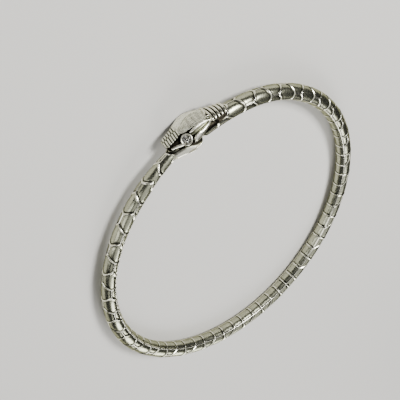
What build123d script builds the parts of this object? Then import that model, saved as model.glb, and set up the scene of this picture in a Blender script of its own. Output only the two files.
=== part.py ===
# Snake bracelet: a closed bangle whose snake bites the end of its own tail.
# Lengths are in millimetres and angles in degrees.
# The bangle lies on its side on the plane z = 0 with its axis upright and its head towards -Y.
# A place on it is given by three numbers: the distance behind the snout tip, measured along the
# body's centreline, then how far outward it lies from that centreline, then how far above it.

import os
from math import acos, atan, cos, degrees, pi, radians, sin, sqrt

from build123d import *

# Ring and body
inner_diameter = 62.6
body_diameter = 3.4
neck_diameter = 3.1
slim_diameter = 2.65
tail_diameter = 2.1
neck_sag = 0.35
snout_bearing = -80.0

# Scales
row_pitch = 3.234
first_row = 13.49
scallop_depth = 1.25
row_rake = 0.45
edge_height = 0.12
edge_width = 0.5
side_angle = 80.0
belly_angle = 130.0

# Head
head_length = 14.1
head_width = 5.4
head_height = 3.4
seam_gap = 0.08
mouth_depth = 2.45
mouth_rim = 0.5
rim_drop = 0.25
tail_in_mouth = 2.0
tail_clearance = 0.12
snout_rib_height = 0.13
snout_rib_pitch = 0.50
snout_rib_count = 7
collar_rib_height = 0.16
collar_rib_pitch = 0.72
collar_rib_count = 6

# Eyes
stone_diameter = 1.5
stone_gap = 0.04
bezel_wall = 0.30
bezel_stand = 0.14
bezel_depth = 1.1
eye_along = 3.35
eye_out = 1.95
eye_side = 1.88
eye_facing = (0.15, 0.62, 0.77)

# Stone below its girdle: the shoulder of the lower facets, and the point
shoulder_radius = 0.62 * stone_diameter / 2
stone_shoulder = 0.45 * stone_diameter / 2
stone_depth = 0.86 * stone_diameter / 2

ring_radius = inner_diameter / 2 + body_diameter / 2
half_turn = pi * ring_radius
head_side = head_width / 2

# The head is deeper than the body, so the ring leans on a cheek and on the far side of the body.
cheek_height = 0.353 * head_height
body_side = body_diameter / 2 + edge_height
rest_tilt = atan((head_side - body_side) / (2 * ring_radius + cheek_height))
rest_lift = ring_radius * sin(rest_tilt) + body_side * cos(rest_tilt)

# Body thickness: bearing behind the snout tip, diameter there
BODY_SIZES = (
    (0.0, neck_diameter),
    (25.0, neck_diameter),
    (45.0, 0.3 * body_diameter + 0.7 * neck_diameter),
    (95.0, body_diameter),
    (275.0, body_diameter),
    (318.0, slim_diameter),
    (346.0, slim_diameter),
    (357.0, tail_diameter),
    (370.0, tail_diameter),
)

# Section angles of the body's sixteen columns, from the outer side round to the belly
HALF_ANGLES = (0.0, 20.0, 40.0, 60.0, side_angle, 105.0, belly_angle, 155.0, 180.0)

# Upper half of the head, from the snout tip to the rear of the crown. The columns are the share
# of the head's length, then the crown's half width and height, the height of its rim, the groove
# under the rim (half width, height), the lip or cheek (half width, height) and the foot
# (half width, height). Widths are shares of half the head's width, heights of the head's height.
CROWN_SECTIONS = (
    (0.000, 0.33, 0.910, 0.760, 0.310, 0.650, 0.350, 0.560, 0.330, 0.465),
    (0.012, 0.43, 0.955, 0.790, 0.350, 0.660, 0.410, 0.550, 0.370, 0.456),
    (0.080, 0.55, 0.985, 0.810, 0.410, 0.675, 0.540, 0.500, 0.500, 0.370),
    (0.145, 0.615, 0.995, 0.820, 0.460, 0.675, 0.650, 0.440, 0.600, 0.256),
    (0.180, 0.63, 1.000, 0.825, 0.500, 0.660, 0.700, 0.405, 0.660, 0.195),
    (0.230, 0.66, 1.000, 0.825, 0.555, 0.645, 0.780, 0.350, 0.720, 0.125),
    (0.285, 0.775, 1.000, 0.820, 0.610, 0.630, 0.850, 0.340, 0.760, 0.097),
    (0.325, 0.84, 1.000, 0.815, 0.740, 0.645, 0.960, 0.350, 0.810, 0.088),
    (0.390, 0.88, 1.000, 0.805, 0.815, 0.660, 1.000, 0.353, 0.840, 0.088),
    (0.470, 0.85, 0.985, 0.790, 0.790, 0.645, 0.990, 0.353, 0.810, 0.118),
    (0.530, 0.78, 0.960, 0.765, 0.720, 0.620, 0.925, 0.370, 0.760, 0.170),
    (0.590, 0.66, 0.905, 0.720, 0.660, 0.575, 0.835, 0.370, 0.720, 0.240),
    (0.640, 0.52, 0.820, 0.660, 0.590, 0.530, 0.760, 0.370, 0.685, 0.295),
)

# Ribbed neck collar: share of the head's length, radius, height of its foot (shares as above)
COLLAR_SECTIONS = (
    (0.655, 0.925, 0.303),
    (0.740, 0.797, 0.330),
    (0.790, 0.704, 0.338),
    (0.850, 0.637, 0.344),
    (1.000, 0.593, 0.385),
)

# Lower jaw and throat: share of the head's length, half width of the rim, half width and height
# of the flare, depth of the keel. Widths and depths are shares of half the head's width.
JAW_SECTIONS = (
    (0.012, 0.48, 0.53, -0.11, 0.54),
    (0.080, 0.54, 0.635, -0.18, 0.57),
    (0.172, 0.65, 0.78, -0.27, 0.60),
    (0.182, 0.66, 0.79, -0.27, 0.60),
    (0.230, 0.69, 0.825, -0.29, 0.605),
    (0.285, 0.72, 0.865, -0.31, 0.61),
    (0.395, 0.72, 0.82, -0.30, 0.61),
    (0.420, 0.66, 0.75, -0.30, 0.61),
    (0.445, 0.53, 0.60, -0.20, 0.62),
    (0.540, 0.52, 0.575, -0.11, 0.68),
)

# How far the neck hangs towards the wrist behind the jaw: distance behind the snout tip, depth
NECK_SAGS = (
    (0.44 * head_length, 0.0),
    (0.58 * head_length, neck_sag),
    (0.80 * head_length, neck_sag),
    (1.85 * head_length, 0.0),
)


def interpolate(table, at):
    """Row of a table at a given value of its first column, on straight lines between rows."""
    for low, high in zip(table, table[1:]):
        if at <= high[0]:
            share = max(0.0, (at - low[0]) / (high[0] - low[0]))
            return [a + share * (b - a) for a, b in zip(low, high)]
    return list(table[-1])


def place(along, out, up):
    """Point of the resting bangle from its distance along the body and its place in the section."""
    bearing = radians(snout_bearing) - along / ring_radius
    x = (ring_radius + out) * cos(bearing)
    y = (ring_radius + out) * sin(bearing)
    tilted_y = y * cos(rest_tilt) + up * sin(rest_tilt)
    tilted_z = up * cos(rest_tilt) - y * sin(rest_tilt)
    return (x, tilted_y, tilted_z + rest_lift)


def mirrored(half):
    """Closed loop of (out, up) points from the half above the centreline, ends on the middle."""
    return half + [(out, -up) for out, up in reversed(half[1:-1])]


def faceted_solid(loops):
    """Solid of flat triangles between closed loops of as many points, closed at both ends."""
    triangles = []
    count = len(loops[0])
    for lower, upper in zip(loops, loops[1:]):
        for i in range(count):
            j = (i + 1) % count
            triangles.append((lower[i], lower[j], upper[j]))
            triangles.append((lower[i], upper[j], upper[i]))
    for loop, order in ((loops[0], -1), (loops[-1], 1)):
        middle = tuple(sum(point[axis] for point in loop) / count for axis in range(3))
        for i in range(count):
            pair = (loop[i], loop[(i + 1) % count])[::order]
            triangles.append((*pair, middle))
    return Solid(Shell([Face(Wire.make_polygon(corners)) for corners in triangles]))


def body_radius(along):
    """Radius of the smooth body under its scales."""
    return interpolate(BODY_SIZES, degrees(along / ring_radius))[1] / 2


def seat_height(along):
    """Height of the flat on which the head sits, and well above the body behind the head."""
    share = along / head_length
    if share > 1.0 + seam_gap / head_length:
        return body_diameter
    if along < mouth_depth:
        return mouth_rim
    if share < COLLAR_SECTIONS[0][0]:
        return interpolate(CROWN_SECTIONS, share)[9] * head_height - seam_gap
    return interpolate(COLLAR_SECTIONS, share)[2] * head_height - seam_gap


def edge_setback(angle, row):
    """How far a row's free edge lies short of its tip at an angle round the body."""
    angle = abs(angle)
    rake = row_rake * (1 - cos(radians(angle))) / 2
    flank_row = row % 2 == 1
    if angle > belly_angle:
        angle = belly_angle
    if flank_row:
        below = (angle - side_angle) / (belly_angle - side_angle) * 0.35
        share = below if angle > side_angle else 1 - angle / side_angle
    else:
        below = (belly_angle - angle) / (belly_angle - side_angle)
        share = below if angle > side_angle else angle / side_angle
    return scallop_depth * share ** 1.4 - rake


def seam_angles(row):
    """Angles round the body at which the scales of a row meet."""
    return (0.0, belly_angle) if row % 2 == 1 else (side_angle, belly_angle)


def hanging(along, out):
    """Height of a point of the body, lower where the neck hangs, and cut flat under the head."""
    if along > half_turn:
        return out
    return min(out - interpolate(NECK_SAGS, along)[1], seat_height(along))


def body_loop(row, offset, rise, tail_side):
    """Loop of the body at an offset from a row's edge line, with raised seams between scales."""
    half = []
    for angle in HALF_ANGLES:
        along = first_row + row * row_pitch - edge_setback(angle, row) + offset
        along = 2 * half_turn - along if tail_side else along
        radius = body_radius(along)
        on_seam = angle in seam_angles(row if offset <= 0 else row + 1)
        radius += edge_height * (rise if rise or not on_seam else 0.8)
        out = hanging(along, radius * cos(radians(angle)))
        half.append((along, out, radius * sin(radians(angle))))
    loop = half + [(along, out, -up) for along, out, up in reversed(half[1:-1])]
    return [place(*point) for point in loop]


def row_loops(row, tail_side):
    """Three loops that raise one row's free edge: before it, on its crest and behind it."""
    loops = [body_loop(row, offset, rise, tail_side) for offset, rise in (
        (-edge_width, 0.0), (0.0, 1.0), (edge_width / 2, 0.0))]
    return loops[::-1] if tail_side else loops


def plain_loop(along, radius):
    """Round loop square to the body."""
    half = [(radius * cos(radians(angle)), radius * sin(radians(angle))) for angle in HALF_ANGLES]
    return [place(along, out, up) for out, up in mirrored(half)]


def middle_loops():
    """Straight edge opposite the head, where the scales of the two sides meet."""
    crest = body_radius(half_turn) + edge_height
    return [
        plain_loop(half_turn - edge_width / 2, body_radius(half_turn)),
        plain_loop(half_turn, crest),
        plain_loop(half_turn + edge_width / 2, body_radius(half_turn)),
    ]


def jaw_loop(section):
    """Loop of the lower jaw or throat, hollowed over the mouth's depth to hold the tail."""
    share, rim, flare, flare_height, keel = section
    along = share * head_length
    top = seat_height(along)
    channel = tail_diameter / 2 + tail_clearance
    if along < mouth_depth:
        bends = (180.0, 144.0, 104.0, degrees(acos(mouth_rim / channel)))
        half = [(channel * cos(radians(bend)), channel * sin(radians(bend))) for bend in bends]
    else:
        half = [(top, part * rim * head_side) for part in (0.0, 0.45, 0.75, 0.95)]
    half.append((top - rim_drop, rim * head_side))
    half.append((flare_height * head_side, flare * head_side))
    half.append((-0.60 * keel * head_side, 0.88 * flare * head_side))
    half.append((-0.93 * keel * head_side, 0.45 * flare * head_side))
    half.append((-keel * head_side, 0.0))
    return [place(along, out, up) for out, up in mirrored(half)]


def tail_tip_loops():
    """Smooth rounded end of the tail, inside the mouth."""
    end = 2 * half_turn + tail_in_mouth
    radius = tail_diameter / 2
    loops = [plain_loop(2 * half_turn - 0.3, radius)]
    for angle in (0.0, 35.0, 62.0):
        along = end - 0.5 * radius * (1 - sin(radians(angle)))
        loops.append(plain_loop(along, radius * cos(radians(angle))))
    return loops


def hoop_loops():
    """All loops of the body, from the tip of the lower jaw round to the tip of the tail."""
    last_row = int((half_turn - first_row) / row_pitch - 0.55)
    tail_rows = int((first_row - scallop_depth - 1.2) / row_pitch)
    loops = [jaw_loop(section) for section in JAW_SECTIONS]
    for row in range(-1, last_row + 1):
        loops += row_loops(row, tail_side=False)
    loops += middle_loops()
    for row in range(last_row, -tail_rows - 1, -1):
        loops += row_loops(row, tail_side=True)
    return loops + tail_tip_loops()


def underside(foot_width, foot_height, along):
    """Points of the head's underside, arched over the tail inside the mouth."""
    channel = tail_diameter / 2 + tail_clearance
    points = []
    for part in (0.75, 0.45, 0.0):
        up = min(part * foot_width, 0.95 * channel)
        arch = sqrt(channel ** 2 - up ** 2) if along < mouth_depth else foot_height
        points.append((max(foot_height, arch), up))
    return points


def crown_loop(share, rise):
    """Loop of the head in front of the collar, with its top raised by a rib."""
    (_, crown_w, crown_h, rim_h, groove_w, groove_h,
     cheek_w, cheek_h, foot_w, foot_h) = interpolate(CROWN_SECTIONS, share)
    side, height = head_side, head_height
    half = [
        (crown_h * height + rise, 0.0),
        (0.995 * crown_h * height + rise, 0.5 * crown_w * side),
        (0.97 * crown_h * height + rise, 0.88 * crown_w * side),
        ((0.5 * crown_h + 0.5 * rim_h) * height + rise / 2, (crown_w + 0.01) * side),
        (rim_h * height, 0.97 * crown_w * side),
        (groove_h * height, groove_w * side),
        ((0.75 * groove_h + 0.25 * cheek_h) * height, (0.45 * groove_w + 0.55 * cheek_w) * side),
        (cheek_h * height, cheek_w * side),
        ((0.5 * cheek_h + 0.5 * foot_h) * height, (0.55 * cheek_w + 0.45 * foot_w) * side),
        (foot_h * height, foot_w * side),
    ]
    half += underside(foot_w * side, foot_h * height, share * head_length)
    return [place(share * head_length, out, up) for out, up in mirrored(half)]


def collar_loop(share, rise):
    """Loop of the ribbed collar: an arc over the neck, closed by a flat."""
    _, radius, foot_h = interpolate(COLLAR_SECTIONS, share)
    radius = radius * head_side + rise
    foot = foot_h * head_height
    spread = acos(foot / radius)
    half = []
    for part in (0.0, 0.2, 0.38, 0.5, 0.6, 0.7, 0.8, 0.87, 0.94, 1.0):
        half.append((radius * cos(part * spread), radius * sin(part * spread)))
    half += underside(half[-1][1], foot, head_length)
    return [place(share * head_length, out, up) for out, up in mirrored(half)]


def head_loops():
    """All loops of the head, with the ribs of the snout and of the collar."""
    ribs = {}
    for rib in range(snout_rib_count):
        crest = (0.3 + rib * snout_rib_pitch) / head_length
        ribs[crest] = snout_rib_height
        ribs[crest + 0.5 * snout_rib_pitch / head_length] = 0.0
    shares = sorted(ribs) + [row[0] for row in CROWN_SECTIONS if row[0] > max(ribs) + 0.01]
    loops = [crown_loop(0.0, 0.0)]
    loops += [crown_loop(share, ribs.get(share, 0.0)) for share in shares]
    start = COLLAR_SECTIONS[0][0]
    loops.append(collar_loop(start, 0.0))
    for rib in range(collar_rib_count):
        crest = start + (0.45 + rib * collar_rib_pitch) / head_length
        loops.append(collar_loop(crest, collar_rib_height))
        loops.append(collar_loop(crest + 0.5 * collar_rib_pitch / head_length, 0.0))
    loops.append(collar_loop(1.0, 0.0))
    return loops


def eye_plane(side):
    """Plane of an eye's stone: its origin at the girdle's centre, its normal out of the head."""
    forward, outward, sideways = eye_facing
    origin = Vector(*place(eye_along, eye_out, side * eye_side))
    ahead = place(eye_along - forward, eye_out + outward, side * (eye_side + sideways))
    return Plane(origin=origin, z_dir=Vector(*ahead) - origin)


def brilliant(radius):
    """Round brilliant: a table, star, bezel and girdle facets above, and facets to a point below."""
    def ring(share, height, count, turn):
        steps = [(i + turn) / count * 2 * pi for i in range(count)]
        return [(share * radius * cos(a), share * radius * sin(a), height * radius) for a in steps]

    table = ring(0.56, 0.32, 8, 0.0)
    star = ring(0.80, 0.19, 8, 0.5)
    girdle_top = ring(1.0, 0.03, 16, 0.0)
    girdle_low = ring(1.0, -0.03, 16, 0.0)
    mains = ring(shoulder_radius / radius, -stone_shoulder / radius, 8, 0.0)
    culet = (0.0, 0.0, -stone_depth)
    faces = [table]
    for i in range(8):
        j = (i + 1) % 8
        before, middle, after = 2 * i, 2 * i + 1, 2 * j
        faces.append((table[i], star[i], table[j]))
        faces.append((table[i], star[i - 1], girdle_top[before]))
        faces.append((table[i], girdle_top[before], star[i]))
        faces.append((star[i], girdle_top[before], girdle_top[middle]))
        faces.append((star[i], girdle_top[middle], girdle_top[after]))
        faces.append((mains[i], girdle_low[middle], girdle_low[before]))
        faces.append((mains[i], mains[j], girdle_low[middle]))
        faces.append((mains[j], girdle_low[after], girdle_low[middle]))
        faces.append((mains[i], culet, mains[j]))
    for i in range(16):
        j = (i + 1) % 16
        faces.append((girdle_low[i], girdle_low[j], girdle_top[j], girdle_top[i]))
    return Solid(Shell([Face(Wire.make_polygon(corners)) for corners in faces]))


# Body, lower jaw and tail: one casting
with BuildPart() as hoop:
    add(faceted_solid(hoop_loops()))

# Upper head and neck collar: one casting, with the two eye settings soldered on
with BuildPart() as head:
    add(faceted_solid(head_loops()))
    for side in (1, -1):
        seat = eye_plane(side)
        rim = stone_diameter / 2 + stone_gap
        with BuildSketch(seat.offset(-bezel_depth)):
            Circle(rim + bezel_wall)
        extrude(amount=bezel_depth + bezel_stand)
        with BuildSketch(seat.offset(-stone_shoulder)):
            Circle(rim)
        extrude(amount=bezel_depth + bezel_stand, mode=Mode.SUBTRACT)
        with BuildSketch(seat.offset(-stone_depth - stone_gap)):
            Circle(shoulder_radius + 2 * stone_gap)
        extrude(amount=stone_depth, mode=Mode.SUBTRACT)

# Clear stones of the eyes
with BuildPart() as eye_stone_right:
    add(brilliant(stone_diameter / 2).moved(eye_plane(1).location))

with BuildPart() as eye_stone_left:
    add(brilliant(stone_diameter / 2).moved(eye_plane(-1).location))

os.makedirs("parts", exist_ok=True)
pieces = {
    "hoop": hoop,
    "head": head,
    "eye_stone_right": eye_stone_right,
    "eye_stone_left": eye_stone_left,
}
for name, piece in pieces.items():
    piece.part.label = name
    export_step(piece.part, f"parts/{name}.step")
    box = piece.part.bounding_box()
    print(name, round(piece.part.volume, 3), "mm3", box.min, box.max)
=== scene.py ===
"""Snake bracelet in cast silver: a closed bangle whose snake bites the end of its own tail.

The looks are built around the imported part, in its own frame. A place on the snake is given by
three numbers in millimetres: how far behind the snout tip it lies along the body's centreline,
then how far out from that centreline, then how far above it. Angles round the body start at the
bangle's outer side.
"""

import bpy
import numpy as np
from bpy.props import FloatProperty, FloatVectorProperty, PointerProperty
from mathutils import Euler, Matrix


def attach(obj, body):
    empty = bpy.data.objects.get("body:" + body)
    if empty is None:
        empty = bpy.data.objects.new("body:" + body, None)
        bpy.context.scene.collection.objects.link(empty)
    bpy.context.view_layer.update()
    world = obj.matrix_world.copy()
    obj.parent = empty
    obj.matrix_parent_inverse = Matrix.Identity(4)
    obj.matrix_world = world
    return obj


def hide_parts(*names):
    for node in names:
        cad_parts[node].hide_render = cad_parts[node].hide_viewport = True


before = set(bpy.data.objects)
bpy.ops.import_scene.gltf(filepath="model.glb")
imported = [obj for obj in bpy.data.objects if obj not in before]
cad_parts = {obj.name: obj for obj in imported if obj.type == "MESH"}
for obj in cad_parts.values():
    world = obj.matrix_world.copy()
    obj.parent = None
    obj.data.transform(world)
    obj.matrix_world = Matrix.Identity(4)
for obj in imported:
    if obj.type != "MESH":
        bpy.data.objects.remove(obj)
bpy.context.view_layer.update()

bl_info = {
    "name": "Snake bracelet",
    "version": (1, 0, 0),
    "blender": (4, 5, 0),
    "location": "View3D > Sidebar > Bracelet",
    "description": "Builds a cast silver snake bracelet on its packed CAD part",
    "category": "Object",
}

MM = 0.001

# Ring and body, in millimetres and degrees, as in the CAD part
RING_RADIUS = 33.0
HALF_TURN = np.pi * RING_RADIUS
SNOUT_BEARING = -80.0
HEAD_SIDE = 2.7
BODY_SIDE = 1.82
CHEEK_HEIGHT = 1.2002
REST_TILT = np.arctan((HEAD_SIDE - BODY_SIDE) / (2 * RING_RADIUS + CHEEK_HEIGHT))
REST_LIFT = RING_RADIUS * np.sin(REST_TILT) + BODY_SIDE * np.cos(REST_TILT)

# Body thickness: bearing behind the snout tip in degrees, diameter there
BODY_SIZES = np.array((
    (0.0, 3.1), (25.0, 3.1), (45.0, 3.19), (95.0, 3.4), (275.0, 3.4),
    (318.0, 2.65), (346.0, 2.65), (357.0, 2.1), (370.0, 2.1),
))

# How far the neck hangs towards the wrist behind the jaw: distance behind the snout tip, depth
NECK_SAGS = ((6.2, 0.0), (8.18, 0.35), (11.28, 0.35), (26.08, 0.0), (300.0, 0.0))

# Rows of scales: their pitch, where row 0 ends behind the snout tip, the last row of both sides
# of the bracelet, and the first whole rows of the neck and of the tail
ROW_PITCH = 3.234
FIRST_ROW = 13.49
LAST_ROW = 27
NECK_ROW = -1
TAIL_ROW = -3

# Outline of the scales: depth of a scallop, how far a row leans back at the belly, the angles
# of the seams on the flank and beside the belly, and half the angle of the tail's split seam
SCALLOP_DEPTH = 1.25
ROW_RAKE = 0.45
SIDE_ANGLE = 80.0
BELLY_ANGLE = 130.0
TAIL_SPLIT = 14.0

# Relief of the scales: place and spread of the groove before a free edge and of the border
# inside the ridges, reach of the swell and of the painted dark reflection in the scales' middles,
# a distance that no ridge reaches, and the body's mean radius, for how steeply the edges run
GROOVE_PLACE = 0.32
GROOVE_SPREAD = 0.12
BORDER_PLACE = 0.31
BORDER_SPREAD = 0.10
SWELL_REACH = 0.65
REFLECTION_REACH = 0.26
FAR_AWAY = 9.0
MEAN_RADIUS = 1.6

# Where the body starts under the head, and how far the tail reaches into the mouth
NECK_START = 4.6
TAIL_IN_MOUTH = 2.0

# Mouth: its depth and the radius of its channel round the tail; and the flat on which the head
# sits: distance behind the snout tip, height
MOUTH_DEPTH = 2.45
CHANNEL = 1.17
SEAT_HEIGHTS = np.array((
    (0.0, 0.50), (2.45, 0.50), (2.54, 0.583), (3.24, 0.345), (4.02, 0.25), (4.58, 0.22),
    (5.50, 0.22), (6.63, 0.32), (7.47, 0.50), (8.32, 0.74), (9.02, 0.92), (9.24, 0.95),
    (10.43, 1.02), (11.14, 0.99), (11.98, 0.90), (12.82, 0.82), (12.86, 3.40), (300.0, 3.40),
))

# Core of the head that shows in its recesses: distance behind the snout tip, half width and
# height of the top, of the groove, of the side and of the foot
SKULL_SECTIONS = (
    (0.05, 0.70, 2.75, 0.70, 2.20, 0.85, 1.80, 0.80, 1.60),
    (0.30, 0.90, 2.95, 0.82, 2.25, 0.98, 1.80, 0.92, 1.57),
    (1.13, 0.95, 3.00, 0.90, 2.30, 1.15, 1.60, 1.28, 1.27),
    (2.05, 0.95, 3.05, 0.90, 2.25, 1.30, 1.45, 1.55, 0.88),
    (2.54, 0.90, 3.10, 0.85, 2.20, 1.35, 1.30, 1.72, 0.67),
    (3.24, 0.85, 3.10, 0.90, 2.10, 1.35, 1.15, 1.90, 0.43),
    (4.02, 0.95, 3.10, 1.05, 2.10, 1.45, 1.10, 2.00, 0.34),
    (4.58, 1.15, 3.10, 1.50, 2.45, 1.75, 1.15, 2.10, 0.31),
    (5.50, 1.35, 3.05, 1.78, 2.52, 1.98, 1.20, 2.15, 0.31),
    (6.63, 1.50, 3.00, 1.84, 2.48, 2.00, 1.20, 2.10, 0.41),
    (7.47, 1.50, 2.90, 1.84, 2.40, 1.95, 1.25, 1.95, 0.59),
    (8.32, 1.25, 2.70, 1.60, 2.15, 1.80, 1.25, 1.80, 0.83),
    (9.02, 1.10, 2.40, 1.35, 1.80, 1.70, 1.25, 1.65, 1.01),
    (9.60, 1.00, 2.10, 1.30, 1.70, 1.50, 1.25, 1.50, 1.10),
)

# Lower jaw: distance behind the snout tip, half width of the rim, half width and height of the
# flare, depth of the keel; and how far the rim's outer edge is rounded down
JAW_SECTIONS = (
    (0.10, 0.95, 1.10, -0.20, 1.20),
    (0.25, 1.30, 1.45, -0.30, 1.46),
    (1.13, 1.46, 1.72, -0.49, 1.54),
    (2.42, 1.76, 2.11, -0.73, 1.62),
    (2.57, 1.78, 2.13, -0.73, 1.62),
    (4.02, 1.94, 2.34, -0.84, 1.65),
    (5.57, 1.94, 2.21, -0.81, 1.65),
    (5.92, 1.78, 2.03, -0.75, 1.65),
    (6.27, 1.43, 1.62, -0.54, 1.67),
    (6.60, 1.10, 1.20, -0.30, 1.60),
)
RIM_DROP = 0.25

# Painted shadow in the recesses beside the jaw's rim and beside the neck's seat: distance
# behind the snout tip, limit of the share of the place sideways less that of the height; those
# two shares; and the width over which the painted shadow sets in
JAW_SHADOW = ((0.0, 0.10), (1.9, 0.74), (3.4, 1.42), (4.2, 1.90), (4.6, 2.06), (6.6, 2.12))
NECK_SHADOW = ((0.0, 2.00), (6.6, 1.93), (7.2, 1.74), (7.9, 1.50), (8.9, 1.44), (9.8, 1.42),
               (11.1, 1.33), (12.2, 1.20), (14.0, 1.10), (14.3, -9.0), (300.0, -9.0))
RECESS_SLANT = (0.735, 0.678)
RECESS_FADE = 0.05

# Power that makes the ovals of snout and crown blunt
BLUNTNESS = 2.3

# Snout: distance behind its tip, half width on the upper and on the lower side of the lying
# bangle, height of the top and of the lower edge
SNOUT_SECTIONS = (
    (-.06, 0.92, 1.06, 3.05, 2.10), (0.16, 1.02, 1.27, 3.22, 2.40), (0.80, 1.12, 1.46, 3.32, 2.66),
    (1.30, 1.19, 1.50, 3.36, 2.74), (2.10, 1.16, 1.56, 3.38, 2.78), (2.75, 0.96, 1.76, 3.40, 2.80),
    (3.30, 0.80, 1.95, 3.40, 2.80), (3.60, 0.80, 1.98, 3.40, 2.80),
)

# Ribs of the snout: how far they are swept forward for each millimetre sideways, where they
# part, and the share of the pitch that a rib takes
RIB_SWEEP = 0.19
PARTING = 0.35
SNOUT_RIB_SHARE = 0.80

# Crown: distance behind the snout tip, half widths as for the snout, height of the top and edge
CROWN_SECTIONS = (
    (3.10, 0.95, 1.72, 3.38, 2.84), (3.60, 1.20, 2.04, 3.40, 2.82), (4.25, 1.36, 2.30, 3.40, 2.82),
    (4.85, 1.47, 2.50, 3.40, 2.82), (5.60, 1.66, 2.54, 3.40, 2.82), (6.25, 1.78, 2.42, 3.38, 2.80),
    (6.90, 1.97, 2.16, 3.32, 2.74), (7.45, 2.08, 1.88, 3.26, 2.68), (7.90, 1.88, 1.66, 3.18, 2.60),
    (8.30, 1.35, 1.48, 3.06, 2.50), (8.70, 0.75, 1.25, 2.96, 2.40), (9.00, 0.30, 0.95, 2.86, 2.32),
)

# Striped leaf on the crown: distance behind the snout tip, half widths as above; and the
# number of strokes across each half of it
LEAF_SECTIONS = (
    (3.30, 1.20, 0.05), (3.60, 1.35, 0.15), (4.25, 1.50, 0.40), (4.85, 1.60, 0.68),
    (5.60, 1.80, 1.00), (6.25, 1.92, 1.15), (6.90, 2.05, 1.08), (7.45, 2.10, 0.86),
    (7.90, 1.78, 0.62), (8.25, 1.05, 0.40), (8.50, 0.40, 0.20), (8.60, 0.00, 0.00),
    (9.60, 0.00, 0.00),
)
STROKES = 4.6

# Collar over the neck: distance behind the snout tip, radius, height of its foot; where it
# starts under the crown's rear, its end, its first rib's crest and the share of the pitch that
# a rib takes
COLLAR_SECTIONS = (
    (8.80, 2.58, 1.50), (9.24, 2.56, 1.44), (10.00, 2.43, 1.38), (10.43, 2.30, 1.29),
    (11.14, 2.08, 1.12), (11.98, 1.90, 0.99), (12.90, 1.76, 0.88),
)
COLLAR_START = 8.89
COLLAR_END = 12.86
FIRST_CREST = 9.15
COLLAR_RIB_SHARE = 0.74

# Rods and lobes of the near side: share of the length, then distance behind the snout tip,
# height, distance sideways, half thickness in height and half thickness sideways
LIP_PATH = (
    (0.0, 0.60, 1.98, 1.10, 0.22, 0.20),
    (0.4, 1.45, 1.76, 1.34, 0.29, 0.26),
    (0.8, 2.35, 1.50, 1.68, 0.28, 0.25),
    (1.0, 3.00, 1.35, 1.90, 0.20, 0.20),
)
BROW_PATH = (
    (0.00, 4.42, 2.85, 1.93, 0.07, 0.07),
    (0.20, 5.10, 2.86, 2.00, 0.24, 0.22),
    (0.50, 6.20, 2.86, 1.99, 0.30, 0.27),
    (0.80, 7.30, 2.79, 2.06, 0.26, 0.24),
    (1.00, 7.95, 2.66, 2.16, 0.17, 0.17),
)
FAR_BROW_PATH = (
    (0.0, 4.40, 2.66, 1.90, 0.12, 0.12),
    (0.3, 5.40, 2.64, 2.22, 0.16, 0.15),
    (0.6, 6.60, 2.56, 2.16, 0.17, 0.15),
    (1.0, 8.35, 2.30, 1.66, 0.12, 0.12),
)
TEMPLE_PATH = (
    (0.0, 4.60, 2.02, 1.76, 0.16, 0.16),
    (0.2, 5.30, 1.96, 1.80, 0.42, 0.36),
    (0.5, 6.50, 1.94, 1.82, 0.48, 0.40),
    (0.8, 7.80, 1.95, 1.70, 0.38, 0.34),
    (1.0, 8.70, 1.85, 1.45, 0.22, 0.22),
)
CHEEK_PATH = (
    (0.00, 4.42, 0.70, 2.50, 0.14, 0.10),
    (0.10, 4.72, 0.82, 2.40, 0.50, 0.27),
    (0.22, 5.20, 0.98, 2.32, 0.74, 0.36),
    (0.38, 5.90, 1.12, 2.28, 0.74, 0.39),
    (0.55, 6.60, 1.20, 2.18, 0.54, 0.40),
    (0.68, 7.20, 1.32, 2.08, 0.48, 0.38),
    (0.84, 8.00, 1.44, 1.90, 0.40, 0.34),
    (1.00, 8.95, 1.58, 1.52, 0.30, 0.26),
)
JAW_BEAD_PATH = (
    (0.00, 2.10, -0.74, 2.00, 0.06, 0.06),
    (0.30, 3.00, -0.88, 2.30, 0.16, 0.14),
    (0.60, 4.00, -0.92, 2.42, 0.20, 0.18),
    (0.85, 5.10, -0.86, 2.40, 0.16, 0.15),
    (1.00, 6.00, -0.72, 2.18, 0.06, 0.06),
)
NAPE_PATH = (
    (0.00, 9.08, 2.20, -1.75, 0.16, 0.16),
    (0.25, 9.02, 2.68, -1.10, 0.22, 0.20),
    (0.55, 8.86, 2.93, -0.20, 0.23, 0.21),
    (0.80, 8.62, 2.88, 0.55, 0.21, 0.19),
    (1.00, 8.36, 2.70, 1.10, 0.16, 0.15),
)

# Eye: its place, the direction it faces (forward, outward, sideways) and its setting's profile
# of (radius, height above the stone's girdle)
EYE_SPOT = (3.35, 1.95, 1.88)
EYE_FACING = (0.15, 0.62, 0.77)
SETTING_PROFILE = (
    (0.02, -1.10), (0.80, -1.10), (1.02, -1.02), (1.06, -0.60), (1.09, -0.12), (1.11, 0.00),
    (1.07, 0.11), (0.98, 0.16), (0.89, 0.14), (0.82, 0.07), (0.79, -0.01), (0.78, -0.06),
    (0.62, -0.30), (0.36, -0.56), (0.02, -0.74),
)

# Pearl beside the collar: its place, the direction it faces and its profile
PEARL_SPOT = (8.62, 2.36, 1.55)
PEARL_FACING = (-0.1, 0.72, 0.69)
PEARL_PROFILE = (
    (0.02, -0.50), (0.46, -0.50), (0.52, -0.14), (0.52, 0.02), (0.47, 0.14), (0.38, 0.17),
    (0.32, 0.10), (0.27, -0.06), (0.15, -0.16), (0.02, -0.19),
)

# Metal: where along the shade its bright, middle and dark tones lie, the last two holding painted
# shade and painted dark reflection as well as oxide; and how many file marks a millimetre of the
# body holds round it and along it
TONE_STOPS = (0.08, 0.42, 0.90)
MARKS_PER_MM = (11.0, 0.6, 1.0)

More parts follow.
